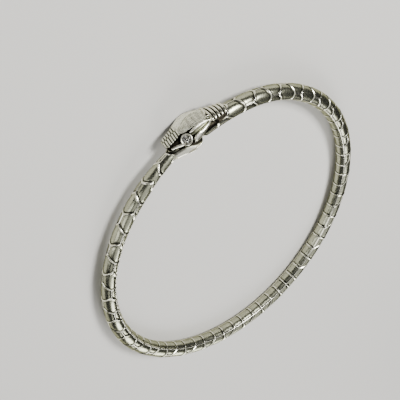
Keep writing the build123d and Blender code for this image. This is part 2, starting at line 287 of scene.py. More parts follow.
# Square lamps: name, power in watts, side and place in metres
LAMPS = (
    ("key", 2.9, 0.16, (-0.20, -0.16, 0.36)),
    ("overhead", 0.75, 0.55, (0.05, 0.10, 0.45)),
    ("fill", 0.5, 0.25, (0.35, -0.20, 0.18)),
    ("rim", 1.6, 0.25, (0.10, 0.40, 0.24)),
)

# Half the floor's side and the camera's place in metres, and the camera's angles in degrees
FLOOR_REACH = 1.5
CAMERA_SPOT = (0.030211, -0.112957, 0.080247)
CAMERA_ANGLES = (-39.1527, -37.2894, 158.2309)


def from_hex(code):
    """Linear colour from an sRGB hex value."""
    share = np.array([int(code[i:i + 2], 16) for i in (0, 2, 4)]) / 255
    linear = np.where(share <= 0.04045, share / 12.92, ((share + 0.055) / 1.055) ** 2.4)
    return tuple(linear.tolist())


class BraceletSizes(bpy.types.PropertyGroup):
    """Sizes of the bracelet's relief that a user would change."""

    scale_ridge_height: FloatProperty(
        name="Scale ridge height", description="Height of the wire-like edges of the scales",
        default=0.00012, unit="LENGTH", precision=6)
    scale_ridge_width: FloatProperty(
        name="Scale ridge width", description="Half width of the edges of the scales",
        default=0.00014, unit="LENGTH", precision=6)
    scale_swell: FloatProperty(
        name="Scale swell", description="How far the middle of a scale stands above its border",
        default=0.00006, unit="LENGTH", precision=6)
    scale_groove: FloatProperty(
        name="Scale groove", description="Depth of the groove in front of a scale's free edge",
        default=0.00007, unit="LENGTH", precision=6)
    snout_rib_pitch: FloatProperty(
        name="Snout rib pitch", description="Distance between the ribs across the snout",
        default=0.00049, unit="LENGTH", precision=6)
    snout_rib_height: FloatProperty(
        name="Snout rib height", description="Height of the ribs across the snout",
        default=0.00022, unit="LENGTH", precision=6)
    crown_groove_depth: FloatProperty(
        name="Crown groove depth", description="Depth of the long grooves on the crown",
        default=0.00009, unit="LENGTH", precision=6)
    collar_rib_pitch: FloatProperty(
        name="Collar rib pitch", description="Distance between the ribs of the neck collar",
        default=0.00082, unit="LENGTH", precision=6)
    collar_rib_height: FloatProperty(
        name="Collar rib height", description="Height of the ribs of the neck collar",
        default=0.00028, unit="LENGTH", precision=6)


class BraceletFinishes(bpy.types.PropertyGroup):
    """Colours of the bracelet's metal; its middle and darkest tones also carry painted shade."""

    silver: FloatVectorProperty(
        name="Silver", description="Polished silver, a little warm", subtype="COLOR",
        default=from_hex("EDEBD9"))
    satin_silver: FloatVectorProperty(
        name="Satin silver", description="Chased silver of the crown and snout",
        subtype="COLOR", default=from_hex("EEEDDD"))
    # Painted dark reflection and shade: the middle tone of the scales' faces and of the hollows of
    # crown and snout
    reflection_and_shade_tone: FloatVectorProperty(
        name="Worn silver", description="Faces of the scales, a little greyed by wear",
        subtype="COLOR", default=from_hex("B6B79F"))
    # Painted half shade: the middle tone on the temples and in the jaw's shadowed recess
    painted_half_shade: FloatVectorProperty(
        name="Tarnish", description="Thin tarnish on temples and jaw", subtype="COLOR",
        default=from_hex("7B7C66"))
    # Oxide and painted shade: the darkest tone, in grooves, recesses and the head's core
    oxide_and_shade: FloatVectorProperty(
        name="Oxide", description="Darkened silver in the deepest recesses", subtype="COLOR",
        default=from_hex("1A1813"))


class StudioSettings(bpy.types.PropertyGroup):
    """Floor, lights and camera."""

    floor: FloatVectorProperty(
        name="Floor", description="Colour of the plain floor", subtype="COLOR",
        default=from_hex("D6D4CE"))
    surroundings: FloatVectorProperty(
        name="Surroundings", description="Colour of the room round the table",
        subtype="COLOR", default=from_hex("202126"))
    brightness: FloatProperty(
        name="Brightness", description="Share of their power that all the lamps give",
        default=1.0, min=0.0, subtype="FACTOR")
    lens: FloatProperty(
        name="Lens", description="Focal length of the camera on a 36 mm sensor",
        default=57.2, min=10.0, unit="CAMERA")


def place(along, out, up):
    """Points of the resting bangle in mm. The distance along turns a point of the section about
    the bangle's axis, and the whole ring is then tilted a little onto its cheek and lifted."""
    bearing = np.radians(SNOUT_BEARING) - along / RING_RADIUS
    x = (RING_RADIUS + out) * np.cos(bearing)
    y = (RING_RADIUS + out) * np.sin(bearing)
    tilted_y = y * np.cos(REST_TILT) + up * np.sin(REST_TILT)
    tilted_z = up * np.cos(REST_TILT) - y * np.sin(REST_TILT)
    return np.stack(np.broadcast_arrays(x, tilted_y, tilted_z + REST_LIFT), axis=-1)


def smooth_table(table, at):
    """Columns of a table at places along its first one. Between two knots runs a cubic whose
    slope at a knot is the harmonic mean of the slopes beside it, or nought at a turning point,
    so the curve never overshoots."""
    table = np.asarray(table, float)
    knots = table[:, 0]
    values = table[:, 1:]
    steps = np.diff(knots)[:, None]
    rises = np.diff(values, axis=0) / steps
    product = rises[:-1] * rises[1:]
    total = rises[:-1] + rises[1:]
    slopes = np.zeros_like(values)
    slopes[0] = rises[0]
    slopes[-1] = rises[-1]
    slopes[1:-1] = np.where(product > 0, 2 * product / np.where(product > 0, total, 1), 0)
    span = np.clip(np.searchsorted(knots, at, side="right") - 1, 0, len(steps) - 1)
    share = np.clip((at - knots[span]) / steps[span, 0], 0, 1)[:, None]
    low = values[span]
    high = values[span + 1]
    bend_low = slopes[span] * steps[span]
    bend_high = slopes[span + 1] * steps[span]
    return (low * (2 * share**3 - 3 * share**2 + 1) + high * (3 * share**2 - 2 * share**3)
            + bend_low * (share**3 - 2 * share**2 + share) + bend_high * (share**3 - share**2))


def bell(distance, width):
    """Bell curve: e to the power of minus the square of the distance over the width."""
    return np.exp(-(distance / width) ** 2)


def smooth_step(distance, width):
    """Step from 0 to 1: 1 over (1 plus e to the power of minus the distance over the width)."""
    return 1 / (1 + np.exp(-distance / width))


def half_round(turns, share):
    """Height of half-round ribs, one to each whole turn: a half circle over a share of it."""
    wave = 2 * np.mod(turns, 1.0) - 1
    return np.sqrt(np.maximum(1 - (wave / share) ** 2, 0))


def section_points(pairs):
    """Half sections from pairs of columns: the second axis runs over the pairs."""
    return np.stack([np.stack(pair, axis=-1) for pair in pairs], axis=1)


def both_ways(half):
    """Closed loops from the halves above the centreline, whose ends lie on the middle. The
    points are (out, up) along the second axis of the array, and their up is turned over."""
    other = half[:, -2:0:-1] * (1, -1)
    return np.concatenate((half, other), axis=1)


def round_loops(loops, parts):
    """Closed loops with parts times as many points, on the cubic through four neighbours at a
    time whose slope at a point is half the step from the one before to the one after."""
    before = np.roll(loops, 1, axis=1)
    after = np.roll(loops, -1, axis=1)
    next_after = np.roll(loops, -2, axis=1)
    share = (np.arange(parts) / parts)[None, None, :, None]
    a, b, c, d = (part[:, :, None, :] for part in (before, loops, after, next_after))
    curve = 0.5 * (2 * b + (c - a) * share + (2 * a - 5 * b + 4 * c - d) * share**2
                   + (3 * b - a - 3 * c + d) * share**3)
    return curve.reshape(len(loops), -1, 2)


def end_round(along, reach):
    """Share of its full section that a form has near its two ends: a quarter circle of the
    given reach at each."""
    ends = np.minimum(along - along.min(), along.max() - along)
    near = np.clip(ends / reach, 0.0, 1.0)
    return np.sqrt(1 - (1 - near) ** 2) * 0.98 + 0.02


def rod(table, stations=60, sides=24, side=1):
    """Grid of a rod with round ends. A path table is smoothed along its length; round each of
    its points lies an ellipse square to the path, and each end closes in a quarter circle."""
    along, out, up, tall, wide = smooth_table(table, np.linspace(0, 1, stations)).T
    up = side * up
    centre = place(along, out, up)
    tangent = np.gradient(centre, axis=0)
    tangent /= np.linalg.norm(tangent, axis=1, keepdims=True)
    outward = place(along, out + 1, up) - centre
    sideways = np.cross(tangent, outward)
    sideways /= np.linalg.norm(sideways, axis=1, keepdims=True)
    outward = np.cross(sideways, tangent)
    cap = np.radians(np.linspace(86, 14, 6))
    pick = np.clip(np.arange(-6, stations + 6), 0, stations - 1)
    shrink = np.concatenate((np.cos(cap), np.ones(stations), np.cos(cap[::-1])))
    push = np.concatenate((-np.sin(cap), np.zeros(stations), np.sin(cap[::-1])))
    centre = centre[pick] + tangent[pick] * (push * np.minimum(tall, wide)[pick])[:, None]
    turn = np.linspace(0, 2 * np.pi, sides, endpoint=False)[None, :, None]
    tall = (tall[pick] * shrink)[:, None, None]
    wide = (wide[pick] * shrink)[:, None, None]
    return (centre[:, None] + outward[pick][:, None] * tall * np.cos(turn)
            + sideways[pick][:, None] * wide * np.sin(turn))


def turned(profile, spot, facing, sides=48, side=1):
    """Grid of a form turned on a lathe: each (radius, height) of a smoothed profile goes round
    an axis that stands on a place of the head and points in a given direction."""
    steps = np.arange(len(profile), dtype=float)
    table = np.column_stack((steps, profile))
    radius, height = smooth_table(table, np.linspace(0, steps[-1], 4 * len(profile))).T
    along, out, up = spot
    forward, outward, sideways = facing
    origin = place(along, out, side * up)
    axis = place(along - forward, out + outward, side * (up + sideways)) - origin
    axis /= np.linalg.norm(axis)
    first = np.cross(axis, (0.0, 0.0, 1.0))
    first /= np.linalg.norm(first)
    second = np.cross(axis, first)
    turn = np.linspace(0, 2 * np.pi, sides, endpoint=False)[None, :, None]
    spokes = first * np.cos(turn) + second * np.sin(turn)
    return origin + axis * height[:, None, None] + spokes * radius[:, None, None]


def shaded_depth(profile, start, dark):
    """Shade of a turned form: none as far as a share of its profile, and then an even dark."""
    return (np.linspace(0, 1, 4 * len(profile))[:, None] > start) * dark


def closed_faces(grid):
    """Points and faces of a grid that is closed round its columns. A fan of triangles to the
    middle of the first and of the last row closes its ends. The sign of the enclosed volume
    tells whether the faces point inwards, and then all are turned round."""
    rows, columns, _ = grid.shape
    corner = np.arange(rows * columns).reshape(rows, columns)
    beside = np.roll(corner, -1, axis=1)
    quads = np.stack((corner[:-1], beside[:-1], beside[1:], corner[1:]), axis=-1).reshape(-1, 4)
    points = np.concatenate((grid.reshape(-1, 3), grid[[0, -1]].mean(axis=1)))
    ends = np.full(columns, rows * columns)
    fans = np.concatenate((
        np.stack((beside[0], corner[0], ends), axis=-1),
        np.stack((corner[-1], beside[-1], ends + 1), axis=-1)))
    triangles = np.concatenate((quads[:, :3], quads[:, [0, 2, 3]], fans))
    a, b, c = (points[triangles[:, i]] - points.mean(axis=0) for i in range(3))
    if np.sum(a * np.cross(b, c)) < 0:
        quads = quads[:, ::-1]
        fans = fans[:, ::-1]
    return points, quads, fans


def add_object(name, data):
    """Object of the scene around a mesh, a light or a camera."""
    thing = bpy.data.objects.new(name, data)
    bpy.context.scene.collection.objects.link(thing)
    return thing


def make_piece(name, grids, material, replaced, darks=None, skin=None):
    """One object from closed grids in mm, with its place in its mesh. The attribute "hollow"
    is 0 where the metal is brightest and 1 where it is darkest: oxide in the grooves together with
    painted shade, painted shadow and painted dark reflection, and it is lowered on the throat as a
    painted highlight. The attribute "skin" holds the distances round and along the body, for its
    file marks."""
    points = []
    faces = []
    hollow = []
    count = 0
    for index, grid in enumerate(grids):
        own, quads, fans = closed_faces(grid)
        points.append(own)
        faces += (quads + count).tolist() + (fans + count).tolist()
        dark = np.zeros(len(own))
        if darks is not None:
            dark[:-2] = np.broadcast_to(darks[index], grid.shape[:2]).reshape(-1)
        hollow.append(dark)
        count += len(own)
    mesh = bpy.data.meshes.new(name)
    mesh.from_pydata((np.concatenate(points) * MM).tolist(), [], faces)
    mesh.attributes.new("hollow", "FLOAT", "POINT").data.foreach_set(
        "value", np.concatenate(hollow).astype(np.float32))
    if skin is not None:
        flat = np.zeros((len(mesh.vertices), 3), np.float32)
        flat[:-2, :2] = np.stack(skin, axis=-1).reshape(-1, 2)
        mesh.attributes.new("skin", "FLOAT_VECTOR", "POINT").data.foreach_set(
            "vector", flat.reshape(-1))
    mesh.shade_smooth()
    mesh.materials.append(material)
    piece = add_object(name, mesh)
    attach(piece, "root")
    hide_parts(replaced)


def add_node(tree, kind, inputs=None, **settings):
    """Adds a node with its settings. Each input is given a value, or another node's output."""
    node = tree.nodes.new(kind)
    for name, value in settings.items():
        setattr(node, name, value)
    for name, value in (inputs or {}).items():
        if isinstance(value, bpy.types.NodeSocket):
            tree.links.new(value, node.inputs[name])
        else:
            node.inputs[name].default_value = value
    return node


def opaque(colour):
    """Colour with a full fourth value, as sockets want it."""
    return (*colour[:3], 1.0)


def silver(name, tones, sheens, grain_mm, grain_depth, cloud_mm=1.3, clouding=0.24,
           mark_depth=0.0):
    """Cast silver. The hollow attribute, broken up by a soft noise, runs through three tones,
    bright, middle and dark, which paint shade and dark reflection as well as oxide, or there is
    one tone alone, and the roughness runs from the first sheen to the second. Fine casting grain
    is a bump in real size and stirs the gloss. File marks, if any, are a second bump: a noise
    drawn out along the skin attribute's second axis."""
    if name in bpy.data.materials:
        return bpy.data.materials[name]
    material = bpy.data.materials.new(name)
    material.use_nodes = True
    tree = material.node_tree
    tree.nodes.clear()
    where = add_node(tree, "ShaderNodeTexCoord").outputs["Object"]
    hollow = add_node(tree, "ShaderNodeAttribute", attribute_name="hollow").outputs["Fac"]
    cloud = add_node(tree, "ShaderNodeTexNoise", {
        "Vector": where, "Scale": 1 / (cloud_mm * MM), "Detail": 3.0})
    spread = add_node(tree, "ShaderNodeMath", {
        0: cloud.outputs["Fac"], 1: clouding, 2: -clouding / 2}, operation="MULTIPLY_ADD")
    reach = add_node(tree, "ShaderNodeMath", {0: hollow, 1: spread.outputs[0]}, operation="ADD")
    colour = opaque(tones[0])
    if len(tones) > 1:
        ramp = add_node(tree, "ShaderNodeValToRGB", {"Fac": reach.outputs[0]})
        stops = ramp.color_ramp.elements
        stops[0].position = TONE_STOPS[0]
        stops[1].position = TONE_STOPS[2]
        stops.new(TONE_STOPS[1])
        for stop, tone in zip(stops, tones):
            stop.color = opaque(tone)
        colour = ramp.outputs["Color"]
    grain = add_node(tree, "ShaderNodeTexNoise", {
        "Vector": where, "Scale": 1 / (grain_mm * MM), "Detail": 4.0, "Roughness": 0.6})
    dulled = add_node(tree, "ShaderNodeMapRange", {
        "Value": reach.outputs[0], "To Min": sheens[0], "To Max": sheens[1]})
    stirred = add_node(tree, "ShaderNodeMapRange", {
        "Value": grain.outputs["Fac"], "From Min": 0.3, "From Max": 0.7, "To Min": 0.8,
        "To Max": 1.25})
    roughness = add_node(tree, "ShaderNodeMath", {
        0: dulled.outputs[0], 1: stirred.outputs[0]}, operation="MULTIPLY")
    bump = add_node(tree, "ShaderNodeBump", {
        "Height": grain.outputs["Fac"], "Strength": 1.0, "Distance": grain_depth * MM})
    if mark_depth:
        skin = add_node(tree, "ShaderNodeAttribute", attribute_name="skin").outputs["Vector"]
        drawn_out = add_node(tree, "ShaderNodeVectorMath", {
            0: skin, 1: MARKS_PER_MM}, operation="MULTIPLY")
        marks = add_node(tree, "ShaderNodeTexNoise", {
            "Vector": drawn_out.outputs[0], "Scale": 1.0, "Detail": 4.0, "Roughness": 0.6})
        bump = add_node(tree, "ShaderNodeBump", {
            "Height": marks.outputs["Fac"], "Strength": 1.0, "Distance": mark_depth * MM,
            "Normal": bump.outputs["Normal"]})
    shader = add_node(tree, "ShaderNodeBsdfPrincipled", {
        "Base Color": colour, "Metallic": 1.0, "Specular Tint": colour,
        "Roughness": roughness.outputs[0], "Normal": bump.outputs["Normal"]})
    add_node(tree, "ShaderNodeOutputMaterial", {"Surface": shader.outputs[0]})
    return material


def polished_silver():
    """Cast and buffed silver: bright on the ridges, a warm grey of painted dark reflection on the
    faces of the scales, and dark in the grooves with oxide and painted shade."""
    finish = bpy.context.scene.bracelet_finishes
    tones = (finish.silver, finish.reflection_and_shade_tone, finish.oxide_and_shade)
    return silver("buffed_cast_silver", tones, (0.21, 0.34), 0.25, 0.003, mark_depth=0.01)


def burnished_silver():
    """Silver rubbed smooth with a steel burnisher: the brightest, softest reflections. Its
    middle tone is painted half shade, and its darkest is oxide with painted shadow.
    """
    finish = bpy.context.scene.bracelet_finishes
    tones = (finish.silver, finish.painted_half_shade, finish.oxide_and_shade)
    return silver("burnished_silver", tones, (0.28, 0.45), 0.4, 0.002)


def chased_silver():
    """Silver worked with chasing punches: whitish and satin, with a sparkling fine grain. Its
    middle and dark tones paint shade in the hollows, together with oxide.
    """
    finish = bpy.context.scene.bracelet_finishes
    tones = (finish.satin_silver, finish.reflection_and_shade_tone, finish.oxide_and_shade)
    return silver("chased_satin_silver", tones, (0.27, 0.50), 0.12, 0.02, 0.45, 0.7)


def oxide_and_shade_silver():
    """Silver for the head's core, which shows in the recesses: nearly black and dull, oxide as
    from a sulphur bath together with painted shade.
    """
    tones = (bpy.context.scene.bracelet_finishes.oxide_and_shade,)
    return silver("oxide_and_shade_silver", tones, (0.50, 0.60), 0.2, 0.01)


def even_material(name, inputs):
    """Material that is the same all over: one shader with a value in each named socket."""
    material = bpy.data.materials.new(name)
    material.use_nodes = True
    for socket, value in inputs.items():
        material.node_tree.nodes["Principled BSDF"].inputs[socket].default_value = value
    return material


def cut_zirconia():
    """Cubic zirconia, cut and polished: clear and barely warm, with sharp bright glints."""
    return even_material("clear_zirconia", {
        "Base Color": opaque(from_hex("F4F1E2")), "Roughness": 0.02, "IOR": 2.15,
        "Transmission Weight": 1.0})


def matte_card(colour):
    """Uncoated card under the bangle: one pale colour with no gloss."""
    return even_material("matte_card", {"Base Color": opaque(colour), "Roughness": 0.8})


def free_edge(row, angle):
    """How far behind the snout tip the free edge of a row of scales lies, at angles round the
    body. It is scalloped: full length where a scale's tip is, and shorter by the depth times
    the distance from there, to the power 1.4. Odd rows have their tips on the flanks and even
    rows on the back, and all rows lean back towards the belly. The last line, where both sides
    of the bracelet meet, is straight."""
    angle = np.abs(angle)
    rake = ROW_RAKE * (1 - np.cos(np.radians(angle))) / 2
    kept = np.minimum(angle, BELLY_ANGLE)
    past = (kept - SIDE_ANGLE) / (BELLY_ANGLE - SIDE_ANGLE)
    below = kept > SIDE_ANGLE
    flank = np.where(below, 0.35 * past, 1 - kept / SIDE_ANGLE)
    back = np.where(below, 1 - past, kept / SIDE_ANGLE)
    share = np.clip(np.where(row % 2 == 1, flank, back), 0, 1)
    scalloped = FIRST_ROW + row * ROW_PITCH - SCALLOP_DEPTH * share**1.4 + rake
    return np.where(row > LAST_ROW, HALF_TURN, scalloped)


def round_angles():
    """Angles of the columns round the body, denser at the seams: within each stretch from one
    seam to the next they run as s - 0.8 sin(2 pi s) / (2 pi)."""
    half = [np.zeros(1)]
    for low, high, count in ((0.0, SIDE_ANGLE, 14), (SIDE_ANGLE, BELLY_ANGLE, 10),
                             (BELLY_ANGLE, 180.0, 8)):
        share = np.arange(1, count + 1) / count
        share = share - 0.8 * np.sin(2 * np.pi * share) / (2 * np.pi)
        half.append(low + (high - low) * share)
    half = np.concatenate(half)
    return np.concatenate((half, -half[-2:0:-1]))


def scaled_half(first_row, start, sizes, split=0.0):
    """Places, relief and shade of the scales from a starting place to the bracelet's middle.
    The rows follow their free edges. The distance from the nearest edge or seam is measured
    square to it, from how steeply the edge runs. The relief is a bell curve of that distance
    on each edge and seam, less a bell-shaped groove before each free edge and a bell-shaped
    border inside the ridges, plus a soft swell between. The first whole row's seam may be split
    in two, by an angle to either side."""
    angle = round_angles()[None, None, :]
    share = np.array((0, .02, .045, .08, .13, .2, .3, .42, .55, .68, .78, .86, .91, .95, .98))
    share = share[None, :, None]
    row = np.arange(first_row - 1, LAST_ROW + 2)[:, None, None]
    lower = np.where(row == first_row - 1, start, free_edge(row - 1, angle))
    upper = free_edge(row, angle)
    along = lower + share * (upper - lower)
    radius = np.interp(np.degrees(along / RING_RADIUS), *BODY_SIZES.T) / 2
    arc = np.radians(angle[0, 0]) * MEAN_RADIUS
    order = np.argsort(arc)
    square = []
    for edge in (lower, upper):
        lean = np.zeros_like(edge)
        lean[..., order] = np.gradient(edge[..., order], arc[order], axis=-1)
        square.append(np.sqrt(1 + lean**2))
    behind = np.where(row == first_row - 1, FAR_AWAY, (along - lower) / square[0])
    ahead = (upper - along) / square[1]
    split = np.where(row == first_row, split, 0.0)
    tips = np.abs(np.abs(angle) - np.where(row % 2 == 1, split, SIDE_ANGLE))
    seam = np.minimum(tips, np.abs(np.abs(angle) - BELLY_ANGLE))
    seam = np.radians(seam) * radius
    seam = np.where(row == NECK_ROW - 1, FAR_AWAY, seam)
    nearest = np.minimum(np.minimum(behind, ahead), seam)
    ridge = bell(nearest, sizes.scale_ridge_width / MM)
    groove = bell(ahead - GROOVE_PLACE, GROOVE_SPREAD) * (1 - bell(seam, 0.2))
    border = bell(nearest - BORDER_PLACE, BORDER_SPREAD)
    swell = 1 - bell(nearest, SWELL_REACH)
    relief = (sizes.scale_ridge_height / MM * ridge
              - sizes.scale_groove / MM * (0.85 * groove + 0.25 * border)
              + sizes.scale_swell / MM * swell)
    # Painted shade: the scales' middles darken as painted dark reflection, and the border and the
    # groove before each free edge darken as oxide with painted shade
    shade = 0.45 * (1 - bell(nearest, REFLECTION_REACH)) + 0.35 * border + 0.62 * groove
    return [part.reshape(-1, angle.size) for part in (along, relief, shade)]


def hoop_surface(sizes):
    """Grid and shade of the whole body, and its distances round and along: the neck's side, a
    straight ridge, and the tail's side mirrored. The smooth end of the tail narrows by a
    quarter circle inside the mouth. The body is painted dark as shade in the mouth and as shadow
    beside the head's seat, and its throat is painted lighter as a highlight."""
    angle = np.radians(round_angles())[None, :]
    neck, neck_relief, neck_shade = scaled_half(NECK_ROW, NECK_START, sizes)
    tail, tail_relief, tail_shade = scaled_half(
        TAIL_ROW, -TAIL_IN_MOUTH + 0.6, sizes, TAIL_SPLIT)
    cap = np.radians(np.linspace(0, 84, 7))[:, None]
    tip = 2 * HALF_TURN + TAIL_IN_MOUTH - 0.55 * (1 - np.sin(cap)) + 0 * angle
    middle = np.full_like(angle, HALF_TURN)
    crest = np.full_like(angle, sizes.scale_ridge_height / MM)
    along = np.concatenate((neck, middle, 2 * HALF_TURN - tail[::-1], tip))
    relief = np.concatenate((neck_relief, crest, tail_relief[::-1], 0 * tip))
    # The tail's round end, inside the mouth, is painted half dark as shade
    shade = np.concatenate((neck_shade, 0 * middle, tail_shade[::-1], 0 * tip + 0.5))
    radius = np.interp(np.degrees(along / RING_RADIUS), *BODY_SIZES.T) / 2 + relief
    radius[-len(tip):] *= np.cos(cap)
    radius -= np.interp(along, (0.0, 6.4, 7.0, 300.0), (0.3, 0.3, 0.0, 0.0))
    sag = smooth_table(NECK_SAGS, along.reshape(-1)).reshape(along.shape)
    seat = np.interp(along, *SEAT_HEIGHTS.T)
    out = np.minimum(radius * np.cos(angle) - sag, seat)
    up = radius * np.sin(angle)
    # Painted shade: the tail inside the mouth is darkened
    in_mouth = 0.85 * (along > 2 * HALF_TURN + 0.2)
    before = free_edge(0, np.degrees(angle)) - along
    # Painted highlight: ahead of the first row's free edge, on the throat, the scales keep only
    # about a third of their shade, lighter where they catch the light
    shade = np.where(before > 0.15, 0.35 * shade, shade)
    # Painted shadow beside the head's seat, ahead of the first row's free edge
    recess = hidden(along, out, up, NECK_SHADOW, -0.6) * np.clip((before - 0.1) / 0.15, 0, 1)
    shade = np.maximum(shade, np.maximum(in_mouth, recess))
    return place(along, out, up), shade, (angle * radius, along)


def stations_between(start, end, count):
    """Places along a form, denser at both ends: half a cosine wave."""
    return start + (end - start) * (1 - np.cos(np.linspace(0, np.pi, count))) / 2


def hidden(along, out, up, limits, lowest):
    """Painted shadow in the recess under the head, how dark a surface is there: a smooth step
    where a share of its place sideways less a share of its height stays under a limit, above a
    lowest height."""
    aside = RECESS_SLANT[0] * np.abs(up) - RECESS_SLANT[1] * out
    limit = np.interp(along, *np.transpose(limits))
    above = out - lowest + RECESS_FADE
    return smooth_step(limit - aside, RECESS_FADE) * smooth_step(above, RECESS_FADE)


def skull_surface():
    """Grid of the head's core. Its section is a smooth closed curve through the top, the
    groove, the side and the foot, and its underside arches over the tail inside the mouth."""
    along = stations_between(SKULL_SECTIONS[0][0], SKULL_SECTIONS[-1][0], 90)
    columns = smooth_table(SKULL_SECTIONS, along).T
    top_w, top_h, groove_w, groove_h, side_w, side_h, foot_w, foot_h = columns
    arch = np.where(along < MOUTH_DEPTH + 0.1, CHANNEL, 0)
    under = [np.maximum(foot_h, np.sqrt(np.maximum(arch**2 - (part * foot_w) ** 2, 0)))
             for part in (0.75, 0.45, 0.0)]
    half = section_points((
        (top_h, 0 * top_w),
        (0.99 * top_h, 0.5 * top_w),
        (0.97 * top_h, 0.85 * top_w),
        (0.5 * top_h + 0.5 * groove_h, 0.9 * top_w + 0.1 * groove_w),
        (groove_h, groove_w),
        (side_h, side_w),
        (0.5 * side_h + 0.5 * foot_h, 0.5 * side_w + 0.5 * foot_w),
        (foot_h, foot_w),
        (under[0], 0.75 * foot_w),
        (under[1], 0.45 * foot_w),
        (under[2], 0 * foot_w),
    ))
    loops = round_loops(both_ways(half), 5)
    return place(along[:, None], loops[..., 0], loops[..., 1])


def jaw_surface():
    """Grid and shade of the lower jaw: a trough with a flared lip, a smooth closed curve
    through the mouth's channel, the rim, the flare and the keel. Behind the mouth its top is
    flat. It is painted dark as shadow in the recess between the rim and a line above the flare."""
    knots = np.array(JAW_SECTIONS)
    rim, flare, flare_h, keel = knots[:, 1:].T
    top = np.interp(knots[:, 0], *SEAT_HEIGHTS.T)
    mouth = knots[:, 0] < MOUTH_DEPTH
    half = []
    for bend, part in zip((180.0, 144.0, 104.0, 64.7), (0.0, 0.45, 0.75, 0.93)):
        channel_h = CHANNEL * np.cos(np.radians(bend))
        channel_w = CHANNEL * np.sin(np.radians(bend))
        half.append((np.where(mouth, channel_h, top), np.where(mouth, channel_w, part * rim)))
    half += [
        (top - RIM_DROP, rim),
        (0.4 * top + 0.6 * flare_h, 0.4 * rim + 0.6 * flare),
        (flare_h, flare),
        (-0.60 * keel, 0.86 * flare),
        (-0.93 * keel, 0.45 * flare),
        (-keel, 0 * keel),
    ]
    half = section_points(half)
    along = np.concatenate((stations_between(knots[0, 0], 5.6, 70), np.linspace(5.65, 6.6, 20)))
    table = np.column_stack((knots[:, 0], half.reshape(len(knots), -1)))
    loops = smooth_table(table, along).reshape(len(along), -1, 2)
    loops = round_loops(both_ways(loops), 6)
    flare_h = smooth_table(JAW_SECTIONS, along)[:, 2:3]
    shade = hidden(along[:, None], loops[..., 0], loops[..., 1], JAW_SHADOW, flare_h)
    return place(along[:, None], loops[..., 0], loops[..., 1]), shade


def blunt_oval(turn, wide, tall):
    """Distances up and out of a blunt oval: sine and cosine to the power 2 over the bluntness,
    with their signs."""
    up = np.sign(np.sin(turn)) * np.abs(np.sin(turn)) ** (2 / BLUNTNESS) * wide
    out = np.sign(np.cos(turn)) * np.abs(np.cos(turn)) ** (2 / BLUNTNESS) * tall
    return up, out


def snout_surface(sizes):
    """Grid and shade of the ribbed snout: a blunt oval whose two sides carry half-round ribs.
    The ribs are swept forward to the sides, and the far side's stand half a pitch behind."""
    along = np.linspace(SNOUT_SECTIONS[0][0] + 0.02, SNOUT_SECTIONS[-1][0], 160)[:, None]
    near, far, top, low = smooth_table(SNOUT_SECTIONS, along[:, 0]).T[:, :, None]
    turn = np.linspace(0, 2 * np.pi, 112, endpoint=False)[None, :]
    wide = np.where(np.sin(turn) > 0, near, far)
    pitch = sizes.snout_rib_pitch / MM
    up, out = blunt_oval(turn, wide, (top - low) / 2)
    parting = up + PARTING
    phase = along + RIB_SWEEP * parting + np.where(parting < 0, 0.5 * pitch, 0)
    lift = half_round(phase / pitch, SNOUT_RIB_SHARE) * (1 - 0.5 * bell(parting, 0.07))
    facing = np.clip(np.cos(turn) + 1.15, 0, 1)
    growth = (lift - 1.0) * sizes.snout_rib_height / MM * facing
    nose = end_round(along, 0.30)
    up, out = blunt_oval(turn, (wide + growth) * nose, ((top - low) / 2 + growth) * nose)
    # Painted shade: the valleys between the ribs darken as oxide with painted shade, and the
    # snout's underside is painted dark as shade
    shade = bell(lift, 0.70) * facing + np.where(np.cos(turn) < -0.1, 0.9, 0.0)
    return place(along, (top + low) / 2 + out, up), shade


def crown_surface(sizes):
    """Grid and shade of the crown: a lid with a blunt oval section. A leaf stands a little
    above it, its edge a smooth step of the distance from its outline. Long strokes follow the
    leaf's outline, each a cosine of the share of its width, which wavers along it, and a product
    of two slow sine waves makes them deeper and shallower. Small dents, a product of three
    crossed sine waves, lie over the whole lid."""
    along = stations_between(CROWN_SECTIONS[0][0], CROWN_SECTIONS[-1][0], 150)[:, None]
    near, far, top, low = smooth_table(CROWN_SECTIONS, along[:, 0]).T[:, :, None]
    leaf_near, leaf_far = smooth_table(LEAF_SECTIONS, along[:, 0]).T[:, :, None]
    turn = np.linspace(0, 2 * np.pi, 256, endpoint=False)[None, :]
    blunt = end_round(along, 0.35)
    wide = np.where(np.sin(turn) > 0, near, far) * (0.45 + 0.55 * blunt)
    up, out = blunt_oval(turn, wide, (top - low) / 2 * blunt)
    inside = np.minimum(leaf_near - up, up + leaf_far)
    step = smooth_step(inside, 0.03)
    middle = (leaf_near - leaf_far) / 2
    share = (up - middle) / np.maximum((leaf_near + leaf_far) / 2, 0.3)
    waver = 0.5 * np.sin(1.3 * along + 4 * share) + 0.25 * np.sin(4.3 * along)
    groove = 0.5 - 0.5 * np.cos(2 * np.pi * STROKES * share + waver)
    press = np.sin(4.1 * along + 9 * share) * np.sin(2.3 * along - 7 * share)
    groove = groove * (0.8 + 0.2 * press)
    dents = (np.sin(9.1 * along + 4.3 * up) * np.sin(6.7 * up - 3.9 * along)
             * np.sin(5.1 * (along + up)))
    upper = np.clip(np.cos(turn) * 3, 0, 1)
    fine = 0.62 - 0.17 * step
    rough = groove**2 * step + 0.8 * np.maximum(dents, 0) * fine
    border = bell(inside + 0.07, 0.07)
    depth = sizes.crown_groove_depth / MM * (rough + 0.6 * border + 0.8 * (1 - step))
    height = (top + low) / 2 + out - depth * upper
    # Painted shade: the strokes, the dents and the leaf's edge darken as oxide with painted shade,
    # and the lid's underside is painted dark as shade
    shade = groove**2 * step + 0.7 * np.maximum(dents, 0) * fine + 0.6 * border
    return place(along, height, up), shade * upper + np.where(np.cos(turn) < -0.1, 0.9, 0.0)


